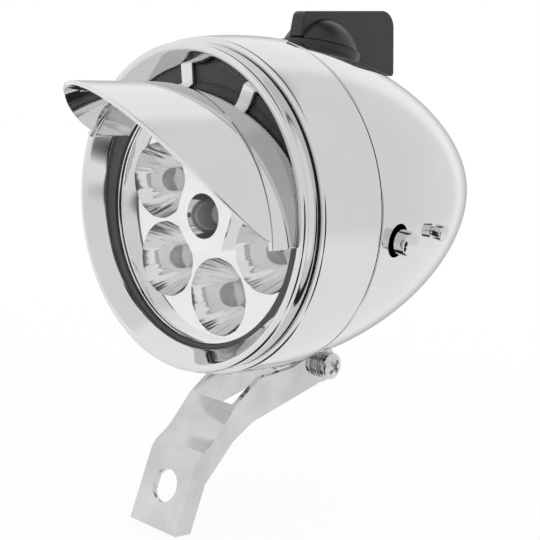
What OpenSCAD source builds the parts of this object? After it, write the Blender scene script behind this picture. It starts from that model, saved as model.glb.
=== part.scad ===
// Bullet-shaped bicycle headlight with a visor, on a folded bracket for a fork crown bolt.
// Millimetres, +Z up, the lamp faces -Y, origin in the middle of the bracket's bolt hole.

/* [Shell] */
// Largest radius of the shell
shell_r = 34.3; // [33.5:0.1:37]
// Distance from the bezel's front to the widest place
shell_wide_y = 17; // [14:0.5:19]
// Radius of the long curve of the front half
front_curve_r = 113; // [90:1:160]
// Radius of the long curve of the rear half
rear_curve_r = 103; // [95:1:115]
// Radius of the rounded tail
tail_r = 16; // [14:0.5:19]
// Wall of the rear shell
shell_wall = 1.2; // [1:0.1:1.5]
// Distance from the bezel's front to the joint between the two shells
seam_y = 20.4; // [19.6:0.1:21.5]
// Width of that joint line
seam_gap = 0.4; // [0.3:0.05:0.6]
// Wall of the sleeve inside the joint
sleeve_wall = 1; // [0.8:0.1:1.2]
// How far the sleeve reaches into the rear shell
sleeve_reach = 4.8; // [4:0.1:5]

/* [Bezel] */
// How far the rolled rim stands inside the shell's largest radius
rim_step = 1.7; // [1.6:0.05:2]
// Radius of the rim's bead
bead_r = 0.95; // [0.8:0.05:1.1]
// Width of the bezel from the rim to its mouth
bezel_w = 4.3; // [4:0.05:4.5]
// Length of the rim's outer side, from its front to the black joint
rim_l = 4; // [3.4:0.1:4.4]
// Depth of the mouth behind the rim
mouth_y = 3.6; // [3.2:0.1:3.9]
// Wall of the bezel
bezel_wall = 1; // [0.8:0.1:1.1]
// Width of the black joint between bezel and shell
seal_w = 0.4; // [0.3:0.05:0.8]

/* [Lens and reflector] */
// Mean width of the rubber ring around the lens
gasket_w = 2.6; // [2.4:0.05:3]
// Thickness of the lens
lens_t = 1.45; // [1.2:0.05:1.8]
// How far the lens sits below the middle of the bezel
lens_drop = 1.7; // [1:0.1:1.8]
// Depth of the reflector
reflector_d = 12; // [11:0.25:13]
// Radius of one cup at its mouth
cup_r = 7.9; // [7:0.1:8]
// Turn of the ring of cups
cup_turn = 40; // [0:1:59]
// Corner radius of the six-sided middle cell
cell_r = 8.4; // [7.6:0.1:8.5]
// Radius of one LED
led_r = 2.5; // [1.5:0.1:2.7]

/* [Visor] */
// How much smaller the visor's radius is than the shell's
visor_step = 4.9; // [4.5:0.1:5.3]
// Thickness of the visor's sheet
visor_t = 0.8; // [0.6:0.1:1]
// Sideways shift of the visor's middle
visor_x = 1.2; // [0:0.1:1.6]
// Downward shift of the visor's middle
visor_drop = 4.5; // [4:0.1:5]
// Turn of the visor towards one side
visor_turn = 18; // [0:1:25]
// Half of the angle that the visor spans
visor_half = 70; // [60:1:76]
// How far the crease stands before the rim
crease_y = 6; // [4.5:0.1:7]
// Length of the peak before the crease
peak_l = 22.5; // [16:0.5:26]
// Radius of the peak's front edge
visor_front_r = 27.5; // [26:0.5:40]

/* [Bracket] */
// Outer width of the bracket
bracket_w = 13.9; // [13:0.1:16]
// Thickness of the bracket's sheet
bracket_t = 1.2; // [1:0.1:1.4]
// Radius of the bolt hole
bolt_r = 3.4; // [3:0.1:3.6]
// Lean of the tab with the bolt hole
tab_lean = 21.6; // [15:0.2:26]
// Length of the tab below the hole
tab_low = 8.7; // [7:0.1:14]
// Length of the tab above the hole
tab_high = 7.3; // [6:0.1:9]
// Height of the lamp's axis above the bolt hole
axis_h = 56.5; // [56:0.5:62]
// Distance of the rim behind the bolt hole
rim_y = 2.3; // [0:0.1:4]
// Distance of the tilt screw behind the rim
pivot_y = 37; // [35:0.2:40]
// Gap between the bracket's ears and the shell
ear_gap = 0.4; // [0.35:0.05:1.2]
// Radius of the ears around the tilt screw
ear_r = 4; // [3.6:0.1:4.1]
// Radius of the tilt screw
screw_r = 1.5; // [1.25:0.05:1.75]

/* [Switch and latch] */
// Radius of the knob's dome
dome_r = 8.5; // [8:0.1:9.5]
// Height of the dome above the shell
dome_h = 7; // [6.6:0.1:8]
// Place of the knob along the rear curve
knob_lean = 12.6; // [11:0.2:16]
// Thickness of the knob's lever
lever_t = 3.6; // [2.5:0.1:5]
// Length of the lever behind the dome's middle
lever_back = 25; // [18:0.5:27]
// Length of the lever before the dome's middle
lever_front = 8.6; // [8:0.1:12]
// Height of the lever at its rear end
lever_high = 14.6; // [10:0.2:16]
// Height of the lever at its front end
lever_low = 6.4; // [4.5:0.1:8]
// Radius of the latch stud
stud_r = 2.5; // [2:0.1:2.8]
// How far the latch stud stands out of the shell
stud_out = 4.1; // [3:0.1:6]
// Distance of the latch stud behind the rim
stud_y = 26.5; // [26:0.1:27]
// Distance of the latch rivet behind the rim
rivet_y = 42; // [40:0.2:43.2]
// Angle of the latch below the lamp's side
latch_down = 7; // [0:1:20]

/* [Battery] */
// Radius of one cell
battery_r = 5.25; // [4:0.05:5.4]
// Length of one cell
battery_l = 44.5; // [30:0.5:45.5]

/* [Hidden] */
$fn = 96;
arc_fn = 480;
turn_fn = 180;
eps = 0.01;
fit = 0.05;
clear = 0.3;

// Curves of the shell: the long rear curve meets the tail without a corner.
rear_mid_r = shell_r - rear_curve_r;
front_mid_r = shell_r - front_curve_r;
tail_run = sqrt(pow(rear_curve_r - tail_r, 2) - pow(rear_curve_r - shell_r, 2));
tail_mid_y = shell_wide_y + tail_run;
tail_share = tail_run / (rear_curve_r - tail_r);
shell_end = tail_mid_y + 2 * tail_r;
function rear_r(y) = sqrt(pow(rear_curve_r, 2) - pow(y - shell_wide_y, 2)) + rear_mid_r;
function rear_angle(y) = asin((y - shell_wide_y) / rear_curve_r);

// Bezel, joint and front shell
rim_r = shell_r - rim_step;
mouth_r = rim_r - bezel_w;
neck_r = rim_r - bead_r;
neck_end_y = 6;
rim_side_r = rim_r - 2 * fit;
shell_front_y = rim_l + fit + seal_w;
funnel_y = bead_r / 2;
seal_out = 0.75;
lip_r = neck_r + fit;
lip_end_y = neck_end_y + 1;
front_wall = 2.3;
front_bore_r = shell_r - front_wall;
sleeve_r = front_bore_r - fit;
sleeve_y = 18.6;
sleeve_end_y = seam_y + sleeve_reach;
groove_y = 9.15;

// Lens, reflector and what carries them
gasket_lip = 0.7;
gasket_y = mouth_y + gasket_lip;
lens_y = gasket_y + gasket_lip;
lens_r = mouth_r - gasket_w;
lens_bore_r = lens_r + fit;
gasket_r = mouth_r - fit;
reflector_r = lens_r - 2 * fit;
reflector_y = lens_y + lens_t + fit;
reflector_end_y = reflector_y + reflector_d;
face_y = reflector_y + 2;
face_r = reflector_r - 0.6;
cup_edge = 0.6;
cup_ring_r = face_r - cup_edge - cup_r;
cell_bowl_r = 4.6;
cup_spread = 1.6;
cup_foot = 0.8;
carrier_y = groove_y + fit;
carrier_t = 2.05;
carrier_end_y = 18;
carrier_r = front_bore_r - fit;
carrier_wall = 2.15;
flange_t = 1.5;
flange_r = reflector_r + flange_t + 0.5;
flange_y = carrier_y + carrier_t + fit;
ring_y = flange_y + flange_t + fit;
ring_t = 1.5;
board_t = 1.6;
board_y = reflector_end_y + fit;
board_end_y = board_y + board_t;
board_r = reflector_r;
led_flange = 0.4;
led_l = 8.6;
board_screw_ring = 21.5;
board_screw_r = 0.8;
board_screw_l = 4;
board_screw_head = 1.2;
post_ring = 10;
post_r = 1.2;
post_in = 1;

// Visor
visor_r = shell_r - visor_step;
visor_over = 0.15;
visor_tab_w = 3.2;
visor_tabs = [-25, 7];

// Batteries
holder_gap = 2.2;
holder_r = 12.9;
cell_ring = 7;
holder_end = 1.5;
contact_t = 0.4;
contact_r = 3.2;
nub_r = 1.9;
nub_l = 0.9;
holder_y = board_end_y + holder_gap;
cells_y = holder_y + holder_end + contact_t + fit;
holder_l = 2 * (holder_end + contact_t + fit) + battery_l;

// Bracket, in the YZ plane; the list holds the middle line of the folded sheet.
step_l = 5;
step_rise = 31;
arm_l = 8.6;
arm_rise = 47.4;
tab_dir = [sin(tab_lean), cos(tab_lean)];
tab_bottom = -tab_low * tab_dir;
bend_1 = tab_high * tab_dir;
bend_2 = bend_1 + step_l * [cos(step_rise), sin(step_rise)];
bend_3 = bend_2 + arm_l * [cos(arm_rise), sin(arm_rise)];
cheek_w = bracket_w / 2 - bracket_t;
function belly(y) = sqrt(pow(rear_r(y), 2) - pow(cheek_w, 2));
pivot_drop = belly(pivot_y) + ear_r + ear_gap;
pivot = [rim_y + pivot_y, axis_h - pivot_drop];
ear_share = 0.95;
ear_run = 10;
cheek_room = 2;
tab_back = [tab_dir[1], -tab_dir[0]];
flange_lip = 3.4;
cheek_rise = 1;
knee_share = 0.35;
cheek_low = [[4.8, -0.9], [10.6, 2.2]];
lug_w = 2 * (cheek_w - clear);
lug_pad = 1.6;
lug_reach = 9;
pivot_bore_r = screw_r + 0.06;
washer_t = 0.5;
spring_washer_t = 0.9;
washer_r = 2 * screw_r;
head_r = 1.95 * screw_r;
head_h = 2;
nut_r = 2.1 * screw_r;
nut_h = 2.4;
screw_head_x = bracket_w / 2 + washer_t + spring_washer_t;
nut_x = -bracket_w / 2 - washer_t;
screw_end = nut_x - nut_h - 0.8;
lug_rivet_r = 1.2;
lug_rivet_head_r = 2.1;
lug_rivet_head_h = 0.9;

// Shell screw under the front shell
shell_screw_y = 14.6;
shell_screw_r = 1.4;
shell_screw_head_r = 2.9;
shell_screw_head_h = 2;

// Switch and knob, measured along the shell's normal
base_r = dome_r + 0.3;
base_h = 0.7;
base_skirt = 3;
knob_lift = base_h + clear;
bush_r = 4.5;
bush_top = 2.9;
switch_nut_r = 6.3;
switch_nut_h = 1.6;
collar_r = 5.6;
case_w = 12;
case_h = 8;
case_top = shell_wall + 1.6;
shaft_r = 3;
shaft_depth = 5;
shaft_skin = 2;
shaft_bottom = case_top + shaft_depth;
shaft_top = dome_h - shaft_skin;
cavity_r = switch_nut_r + 0.6;
cavity_top = base_h + switch_nut_h + 0.7;
lever_slope = 4.4;
lever_sag = 0.8;
lever_round = 4;
lever_nose_round = 1.5;

// Latch, measured from the lamp's axis at the latch's angle
leaf_t = 0.6;
leaf_w = 6;
leaf_room = 2.55;
leaf_nose = 4;
leaf_out = sleeve_r - sleeve_wall - leaf_room;
leaf_front_y = stud_y - leaf_nose;
leaf_tail = 2;
stud_hole_r = stud_r + 0.9;
sleeve_slot_r = stud_hole_r + 0.2;
stud_collar_r = stud_r + 0.8;
stud_collar_top = sleeve_r - sleeve_wall - 0.4;
rivet_r = 1;
rivet_knob_r = 1.65;
rivet_knob_h = 3;
rivet_lift = rear_r(rivet_y - rivet_knob_r) - rear_r(rivet_y) + 2 * fit;
rivet_foot_r = 1.8;
rivet_foot_h = 0.5;
spacer_r = 1.6;

chrome = [0.82, 0.83, 0.85];
steel = [0.6, 0.61, 0.63];
black = [0.08, 0.08, 0.09];

// Lamp frame: origin in the middle of the rim, Y runs back along the lamp's axis.
module lamp() {
  translate([0, rim_y, axis_h]) children();
}

module turned() {
  rotate([-90, 0, 0]) rotate_extrude($fn = turn_fn) children();
}

module tube_y(r_out, r_in, y, len) {
  translate([0, y, 0]) rotate([-90, 0, 0]) difference() {
    cylinder(r = r_out, h = len);
    translate([0, 0, -eps]) cylinder(r = r_in, h = len + 2 * eps);
  }
}

module disc_y(r, y, len) {
  translate([0, y, 0]) rotate([-90, 0, 0]) cylinder(r = r, h = len);
}

module low(drop) {
  translate([0, 0, -drop]) children();
}

module around(count, turn) {
  for (i = [0 : count - 1]) rotate([0, -(turn + i * 360 / count), 0]) children();
}

// Local Z stands on the rear curve, over its top or under its belly.
module on_rear(angle) {
  translate([0, shell_wide_y, rear_mid_r]) rotate([-angle, 0, 0])
    translate([0, 0, rear_curve_r]) children();
}

module under_rear(angle) {
  mirror([0, 0, 1]) on_rear(angle) children();
}

// Local X points out of the lamp at the latch.
module at_latch() {
  rotate([0, latch_down, 0]) children();
}

// Half section of the whole shell, grown by d, from y0 to y1.
module shell_half(d, y0, y1) {
  tail_y = shell_wide_y + (rear_curve_r + d) * tail_share;
  big = 2 * shell_r;
  intersection() {
    translate([0, y0]) square([big, y1 - y0]);
    union() {
      intersection() {
        translate([front_mid_r, shell_wide_y]) circle(r = front_curve_r + d, $fn = arc_fn);
        square([big, shell_wide_y]);
      }
      intersection() {
        translate([rear_mid_r, shell_wide_y]) circle(r = rear_curve_r + d, $fn = arc_fn);
        translate([0, shell_wide_y]) square([big, tail_y - shell_wide_y]);
      }
      intersection() {
        translate([0, tail_mid_y]) circle(r = tail_r + d);
        translate([0, tail_y]) square([big, big]);
      }
    }
  }
}

module shell_solid(d, y0) {
  turned() shell_half(d, y0, shell_end);
}

function unit(v) = v / norm(v);
function normal(a, b) = let (d = unit(b - a)) [-d[1], d[0]];
function mitre(a, b, c) = (normal(a, b) + normal(b, c)) / (1 + normal(a, b) * normal(b, c));

// Local Z runs along the tilt screw.
module at_pivot() {
  translate([0, pivot[0], pivot[1]]) rotate([0, 90, 0]) children();
}

module bracket() {
  half = bracket_t / 2;
  function sheet(d) = [tab_bottom + d * normal(tab_bottom, bend_1),
    bend_1 + d * mitre(tab_bottom, bend_1, bend_2),
    bend_2 + d * mitre(bend_1, bend_2, bend_3),
    bend_3 + d * normal(bend_2, bend_3)];
  outer = sheet(half);
  inner = [for (i = [3 : -1 : 0]) sheet(-half)[i]];
  module cheek() {
    low_1 = tab_bottom + flange_lip * tab_back + cheek_rise * tab_dir;
    low_2 = knee_share * bend_1 + flange_lip * tab_back;
    function under_shell(y) = [rim_y + y, axis_h - belly(y) - cheek_room];
    linear_extrude(bracket_t) polygon(concat(outer, [under_shell(pivot_y - 2 * ear_run),
      under_shell(pivot_y - ear_run), pivot + [0, ear_share * ear_r], pivot - [0, ear_share * ear_r],
      bend_2 + cheek_low[1], bend_2 + cheek_low[0], low_2, low_1]));
    translate(pivot) cylinder(r = ear_r, h = bracket_t);
  }
  color(chrome) difference() {
    union() {
      rotate([90, 0, 90]) translate([0, 0, -cheek_w - half])
        linear_extrude(2 * cheek_w + bracket_t) polygon(concat(outer, inner));
      for (side = [0, 1]) mirror([side, 0, 0])
        rotate([90, 0, 90]) translate([0, 0, cheek_w]) cheek();
    }
    rotate([90 - tab_lean, 0, 0]) cylinder(r = bolt_r, h = 4 * bracket_t, center = true);
    at_pivot() cylinder(r = pivot_bore_r, h = 2 * bracket_w, center = true);
  }
}

module pivot_screw() {
  slot_w = 0.35 * head_r;
  slot_l = 1.2 * head_r;
  color(chrome) at_pivot() difference() {
    union() {
      translate([0, 0, screw_end]) cylinder(r = screw_r, h = screw_head_x + eps - screw_end);
      intersection() {
        translate([0, 0, screw_head_x]) cylinder(r = head_r, h = head_h);
        translate([0, 0, screw_head_x + head_h - 2 * head_r]) sphere(r = 2 * head_r);
      }
    }
    for (a = [45, 135]) rotate([0, 0, a]) translate([0, 0, screw_head_x + head_h])
      cube([slot_l, slot_w, head_h], center = true);
  }
}

module spring_washer() {
  cut = 0.5;
  color(steel) at_pivot() translate([0, 0, bracket_w / 2 + washer_t]) difference() {
    cylinder(r = washer_r - 0.2, h = spring_washer_t);
    translate([0, 0, -eps]) cylinder(r = screw_r + fit, h = spring_washer_t + 2 * eps);
    translate([0, -cut / 2, -eps]) cube([2 * washer_r, cut, spring_washer_t + 2 * eps]);
  }
}

module pivot_washers() {
  color(steel) at_pivot() for (z = [bracket_w / 2, nut_x]) translate([0, 0, z]) difference() {
    cylinder(r = washer_r, h = washer_t);
    translate([0, 0, -eps]) cylinder(r = screw_r + fit, h = washer_t + 2 * eps);
  }
}

module pivot_nut() {
  color(chrome) at_pivot() translate([0, 0, nut_x - nut_h]) difference() {
    cylinder(r = nut_r, h = nut_h, $fn = 6);
    translate([0, 0, -eps]) cylinder(r = screw_r + fit / 2, h = nut_h + 2 * eps);
  }
}

module rear_shell() {
  color(chrome) lamp() difference() {
    turned() difference() {
      shell_half(0, seam_y + seam_gap / 2, shell_end);
      shell_half(-shell_wall, 0, shell_end);
    }
    on_rear(knob_lean) translate([0, 0, -4 * shell_wall]) cylinder(r = bush_r + fit, h = 8 * shell_wall);
    at_latch() {
      translate([0, stud_y, 0]) rotate([0, 90, 0]) cylinder(r = stud_hole_r, h = 2 * shell_r);
      translate([0, rivet_y, 0]) rotate([0, 90, 0]) cylinder(r = rivet_r + fit / 2, h = 2 * shell_r);
    }
    for (s = [-1, 1]) under_rear(rear_angle(pivot_y + s * lug_reach))
      translate([0, 0, -4 * shell_wall]) cylinder(r = lug_rivet_r + fit / 2, h = 8 * shell_wall);
  }
}

module at_lug() {
  translate([0, pivot_y, -pivot_drop]) rotate([0, 90, 0]) children();
}

module pivot_lug() {
  pad_l = 2 * (lug_reach + lug_rivet_head_r + 0.8);
  color(chrome) lamp() difference() {
    union() {
      intersection() {
        shell_solid(lug_pad, seam_y);
        translate([-lug_w / 2, pivot_y - pad_l / 2, -2 * shell_r]) cube([lug_w, pad_l, 2 * shell_r]);
      }
      translate([-lug_w / 2, pivot_y - ear_r, -pivot_drop]) cube([lug_w, 2 * ear_r, pivot_drop]);
      at_lug() cylinder(r = ear_r, h = lug_w, center = true);
    }
    shell_solid(fit, 0);
    at_lug() cylinder(r = pivot_bore_r, h = 2 * lug_w, center = true);
    for (s = [-1, 1]) under_rear(rear_angle(pivot_y + s * lug_reach))
      translate([0, 0, -4 * shell_wall]) cylinder(r = lug_rivet_r + fit / 2, h = 10 * shell_wall);
  }
}

module lug_rivets() {
  color(chrome) lamp() for (s = [-1, 1]) {
    angle = rear_angle(pivot_y + s * lug_reach);
    difference() {
      under_rear(angle) translate([0, 0, lug_pad - clear])
        cylinder(r = lug_rivet_head_r, h = lug_rivet_head_h + clear);
      shell_solid(lug_pad + fit, seam_y);
    }
    under_rear(angle) translate([0, 0, -shell_wall - clear])
      cylinder(r = lug_rivet_r, h = shell_wall + lug_pad + 2 * clear);
    intersection() {
      under_rear(angle) translate([0, 0, -shell_wall - lug_rivet_head_h])
        cylinder(r = lug_rivet_head_r, h = 2 * shell_wall);
      shell_solid(-shell_wall - fit, seam_y);
    }
  }
}

module switch_body() {
  color(black) lamp() difference() {
    union() {
      on_rear(knob_lean) {
        translate([0, 0, -case_top]) cylinder(r = bush_r, h = case_top + bush_top);
        translate([-case_w / 2, -case_w / 2, -case_top - case_h]) cube([case_w, case_w, case_h]);
      }
      intersection() {
        on_rear(knob_lean) translate([0, 0, -case_top]) cylinder(r = collar_r, h = 2 * case_top);
        shell_solid(-shell_wall - fit, seam_y);
      }
    }
    on_rear(knob_lean) translate([0, 0, -shaft_bottom]) cylinder(r = shaft_r + fit, h = 2 * shaft_bottom);
  }
}

module switch_nut() {
  color(steel) lamp() on_rear(knob_lean) translate([0, 0, base_h]) difference() {
    cylinder(r = switch_nut_r, h = switch_nut_h, $fn = 6);
    translate([0, 0, -eps]) cylinder(r = bush_r + fit / 2, h = switch_nut_h + 2 * eps);
  }
}

module knob_base() {
  color(black) lamp() difference() {
    on_rear(knob_lean) translate([0, 0, -base_skirt]) cylinder(r = base_r, h = base_h + base_skirt);
    shell_solid(fit, seam_y);
    on_rear(knob_lean) cylinder(r = bush_r + fit / 2, h = 4 * base_skirt, center = true);
  }
}

// Where a circle of radius r touches the lines from corner c towards a, and its middle.
function half_angle(a, c, b) = acos(unit(a - c) * unit(b - c)) / 2;
function touch(a, c, b, r) = c + unit(a - c) * r / tan(half_angle(a, c, b));
function round_mid(a, c, b, r) = c + unit(unit(a - c) + unit(b - c)) * r / sin(half_angle(a, c, b));

module lever_side() {
  foot = [-lever_front, knob_lift];
  heel = [lever_back, knob_lift - lever_sag];
  top = [lever_back - lever_slope, lever_high];
  nose = [-lever_front, lever_low];
  base_edge = [base_r + clear, knob_lift];
  polygon([foot, base_edge, heel,
    touch(heel, top, nose, lever_round), touch(nose, top, heel, lever_round),
    touch(top, nose, foot, lever_nose_round), touch(foot, nose, top, lever_nose_round)]);
  translate(round_mid(heel, top, nose, lever_round)) circle(r = lever_round);
  translate(round_mid(top, nose, foot, lever_nose_round)) circle(r = lever_nose_round);
}

module knob() {
  color(black) lamp() on_rear(knob_lean) difference() {
    union() {
      intersection() {
        translate([0, 0, dome_h - dome_r]) sphere(r = dome_r);
        translate([0, 0, knob_lift]) cylinder(r = dome_r, h = dome_h);
      }
      rotate([90, 0, 90]) translate([0, 0, -lever_t / 2]) linear_extrude(lever_t) lever_side();
    }
    translate([0, 0, -eps]) cylinder(r = cavity_r, h = cavity_top);
    translate([0, 0, -eps]) cylinder(r = shaft_r + fit, h = shaft_top + fit);
  }
}

module switch_shaft() {
  color(steel) lamp() on_rear(knob_lean) translate([0, 0, fit - shaft_bottom])
    cylinder(r = shaft_r, h = shaft_bottom + shaft_top - fit);
}

module latch_rivet() {
  skin = rear_r(rivet_y);
  foot = leaf_out - leaf_t - clear;
  color(chrome) lamp() at_latch() translate([0, rivet_y, 0]) rotate([0, 90, 0]) {
    translate([0, 0, foot - rivet_foot_h]) cylinder(r = rivet_foot_r, h = rivet_foot_h);
    translate([0, 0, foot - eps]) cylinder(r = rivet_r, h = skin + rivet_knob_h / 2 - foot);
    intersection() {
      translate([0, 0, skin + rivet_lift]) cylinder(r = rivet_knob_r, h = rivet_knob_h - rivet_lift);
      translate([0, 0, skin + rivet_knob_h - 2 * rivet_knob_r]) sphere(r = 2 * rivet_knob_r);
    }
  }
}

module latch_spacer() {
  top = rear_r(rivet_y + spacer_r) - 1.06 * shell_wall - fit;
  color(steel) lamp() at_latch() translate([0, rivet_y, 0]) rotate([0, 90, 0]) difference() {
    translate([0, 0, leaf_out + clear]) cylinder(r = spacer_r, h = top - leaf_out - clear);
    cylinder(r = rivet_r + fit, h = 2 * shell_r);
  }
}

module latch_leaf() {
  leaf_l = rivet_y + leaf_tail - leaf_front_y;
  color(steel) lamp() at_latch() difference() {
    translate([leaf_out - leaf_t, leaf_front_y, -leaf_w / 2]) cube([leaf_t, leaf_l, leaf_w]);
    translate([0, rivet_y, 0]) rotate([0, 90, 0]) cylinder(r = rivet_r + clear, h = 2 * shell_r);
  }
}

module latch_stud() {
  tip = rear_r(stud_y) + stud_out;
  dome = 1.6 * stud_r;
  color(chrome) lamp() at_latch() translate([0, stud_y, 0]) rotate([0, 90, 0]) {
    translate([0, 0, leaf_out]) cylinder(r = stud_collar_r, h = stud_collar_top - leaf_out);
    intersection() {
      translate([0, 0, leaf_out]) cylinder(r = stud_r, h = tip - leaf_out);
      translate([0, 0, tip - dome]) union() {
        sphere(r = dome);
        translate([0, 0, -shell_r]) cylinder(r = dome, h = shell_r);
      }
    }
  }
}

module front_shell() {
  color(chrome) lamp() difference() {
    turned() difference() {
      shell_half(0, shell_front_y, seam_y - seam_gap / 2);
      square([lip_r, seam_y]);
      translate([0, lip_end_y]) square([front_bore_r, seam_y]);
    }
    translate([0, shell_screw_y, -2 * shell_r]) cylinder(r = shell_screw_r + fit / 2, h = 2 * shell_r);
  }
}

module shell_sleeve() {
  color(steel) lamp() difference() {
    tube_y(sleeve_r, sleeve_r - sleeve_wall, sleeve_y, sleeve_end_y - sleeve_y);
    at_latch() {
      translate([0, stud_y, 0]) rotate([0, 90, 0]) cylinder(r = sleeve_slot_r, h = 2 * shell_r);
      translate([0, stud_y, -sleeve_slot_r]) cube([2 * shell_r, shell_r, 2 * sleeve_slot_r]);
    }
  }
}

module shell_screw() {
  skin = shell_r + fit;
  slot_w = 0.3 * shell_screw_head_r;
  slot_l = 1.2 * shell_screw_head_r;
  dome = 1.4 * shell_screw_head_r;
  thread_end = front_bore_r - carrier_wall;
  color(chrome) lamp() translate([0, shell_screw_y, 0]) rotate([180, 0, 0]) difference() {
    union() {
      translate([0, 0, thread_end])
        cylinder(r = shell_screw_r, h = skin + shell_screw_head_h / 4 - thread_end);
      intersection() {
        translate([0, 0, skin]) cylinder(r = shell_screw_head_r, h = shell_screw_head_h);
        translate([0, 0, skin + shell_screw_head_h - dome]) sphere(r = dome);
      }
    }
    for (a = [0, 90]) rotate([0, 0, a]) translate([0, 0, skin + shell_screw_head_h])
      cube([slot_l, slot_w, shell_screw_head_h], center = true);
  }
}

module bezel() {
  slope = (mouth_y - funnel_y) / (neck_r - mouth_r);
  function back(r) = mouth_y - slope * (r - mouth_r) + bezel_wall * sqrt(1 + slope * slope);
  lip_out = mouth_r + bezel_wall;
  neck_in = neck_r - bezel_wall;
  color(chrome) lamp() union() {
    turned() translate([neck_r, bead_r]) circle(r = bead_r);
    tube_y(rim_side_r, neck_r - bezel_wall / 2, bead_r, rim_l - bead_r);
    turned() polygon([[neck_r, funnel_y], [mouth_r, mouth_y], [mouth_r, groove_y], [lip_out, groove_y],
      [lip_out, back(lip_out)], [neck_in, back(neck_in)], [neck_in, neck_end_y], [neck_r, neck_end_y]]);
  }
}

module bezel_seal() {
  color(black) lamp() tube_y(neck_r + seal_out, neck_r + fit, rim_l + fit / 2, seal_w);
}

// The visor's middle plane is local YZ, its peak points along -Y.
module at_visor() {
  translate([visor_x, 0, -visor_drop]) rotate([0, visor_turn, 0]) children();
}

module visor_plan() {
  translate([0, -crease_y]) intersection() {
    translate([0, visor_front_r - peak_l]) circle(r = visor_front_r);
    translate([-2 * visor_r, -2 * peak_l]) square([4 * visor_r, 2 * peak_l + visor_over]);
  }
}

module visor() {
  back_y = gasket_y - fit;
  reach = 2 * shell_r;
  side = reach * [sin(visor_half), cos(visor_half)];
  tip_y = crease_y + 1.1 * peak_l;
  color(chrome) lamp() difference() {
    union() {
      intersection() {
        at_visor() tube_y(visor_r, visor_r - visor_t, -tip_y, tip_y + back_y);
        at_visor() rotate([-90, 0, 0]) translate([0, 0, -reach / 2]) linear_extrude(reach)
          polygon([[0, 0], [side[0], -side[1]], [side[0], -reach], [-side[0], -reach],
            [-side[0], -side[1]]]);
        at_visor() union() {
          linear_extrude(reach) visor_plan();
          translate([-reach / 2, -crease_y, 0]) cube([reach, 2 * crease_y + mouth_y, reach]);
        }
      }
      intersection() {
        at_visor() for (a = visor_tabs) rotate([0, a, 0])
          translate([-visor_tab_w / 2, back_y - visor_t - clear, visor_r - visor_t / 2])
            cube([visor_tab_w, visor_t, shell_r]);
        disc_y(mouth_r + bezel_wall, 0, 2 * mouth_y);
      }
    }
    turned() polygon([[mouth_r - fit, 2 * groove_y], [mouth_r - fit, mouth_y - fit],
      [neck_r - fit, funnel_y - 2 * fit], [neck_r, -fit], [shell_r, -fit], [shell_r, 2 * groove_y]]);
    turned() translate([neck_r, bead_r]) circle(r = bead_r + fit);
  }
}

module gasket() {
  color(black) lamp() difference() {
    disc_y(gasket_r, gasket_y, groove_y - gasket_y);
    low(lens_drop) disc_y(lens_bore_r, 0, 2 * groove_y);
  }
}

module lens() {
  color([0.85, 0.9, 0.95, 0.4]) lamp() low(lens_drop) disc_y(lens_r, lens_y, lens_t);
}

// Bowl of one cup, a parabola from the LED's foot to the mouth.
module cup(r_mouth, y_mouth, steps) {
  depth = reflector_end_y - y_mouth;
  r_foot = led_r + cup_foot;
  foot = depth * pow(r_foot / r_mouth, 2);
  translate([0, reflector_end_y, 0]) rotate([90, 0, 0]) rotate_extrude() polygon([
    [0, -1], [r_foot, -1],
    for (i = [0 : steps]) let (d = foot + (depth - foot) * pow(i / steps, cup_spread))
      [r_mouth * sqrt(d / depth), d],
    [r_mouth, depth + 4], [0, depth + 4]
  ]);
}

module reflector() {
  color(chrome) lamp() low(lens_drop) difference() {
    union() {
      disc_y(reflector_r, reflector_y, reflector_d);
      disc_y(flange_r, flange_y, flange_t);
    }
    difference() {
      disc_y(face_r, reflector_y - 1, face_y - reflector_y + 1);
      rotate([0, -cup_turn - 30, 0]) translate([0, reflector_y - 2, 0]) rotate([-90, 0, 0])
        cylinder(r = cell_r, h = face_y, $fn = 6);
    }
    around(6, cup_turn) translate([cup_ring_r, 0, 0]) cup(cup_r, face_y, 5);
    cup(cell_bowl_r, reflector_y, 4);
    around(3, cup_turn + 30) translate([board_screw_ring, 0, 0])
      disc_y(board_screw_r + fit / 2, reflector_end_y - board_screw_l, 2 * board_screw_l);
    around(3, cup_turn + 30) translate([post_ring, 0, 0])
      disc_y(post_r + clear, reflector_end_y - post_in - clear, 2 * post_in);
  }
}

module carrier() {
  color(black) lamp() difference() {
    disc_y(carrier_r, carrier_y, carrier_end_y - carrier_y);
    low(lens_drop) disc_y(reflector_r + fit, 0, 2 * carrier_end_y);
    disc_y(carrier_r - carrier_wall, carrier_y + carrier_t, carrier_end_y);
    translate([0, shell_screw_y, -2 * shell_r]) cylinder(r = shell_screw_r + fit / 2, h = 2 * shell_r);
  }
}

module retaining_ring() {
  color(steel) lamp() difference() {
    disc_y(carrier_r - carrier_wall - fit, ring_y, ring_t);
    low(lens_drop) disc_y(reflector_r + fit, 0, 2 * carrier_end_y);
  }
}

module led_board() {
  color([0.1, 0.3, 0.18]) lamp() low(lens_drop) difference() {
    disc_y(board_r, board_y, board_t);
    around(3, cup_turn + 30) {
      translate([board_screw_ring, 0, 0]) disc_y(board_screw_r + fit, 0, 2 * board_end_y);
      translate([post_ring, 0, 0]) disc_y(post_r + fit, 0, 2 * board_end_y);
    }
  }
}

module leds() {
  module led() {
    disc_y(led_r + led_flange, board_y - led_flange - fit, led_flange);
    translate([0, board_y - fit, 0]) rotate([90, 0, 0]) {
      cylinder(r = led_r, h = led_l - led_r);
      translate([0, 0, led_l - led_r]) sphere(r = led_r);
    }
  }
  color([0.95, 0.95, 0.9]) lamp() low(lens_drop) {
    led();
    around(6, cup_turn) translate([cup_ring_r, 0, 0]) led();
  }
}

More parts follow.
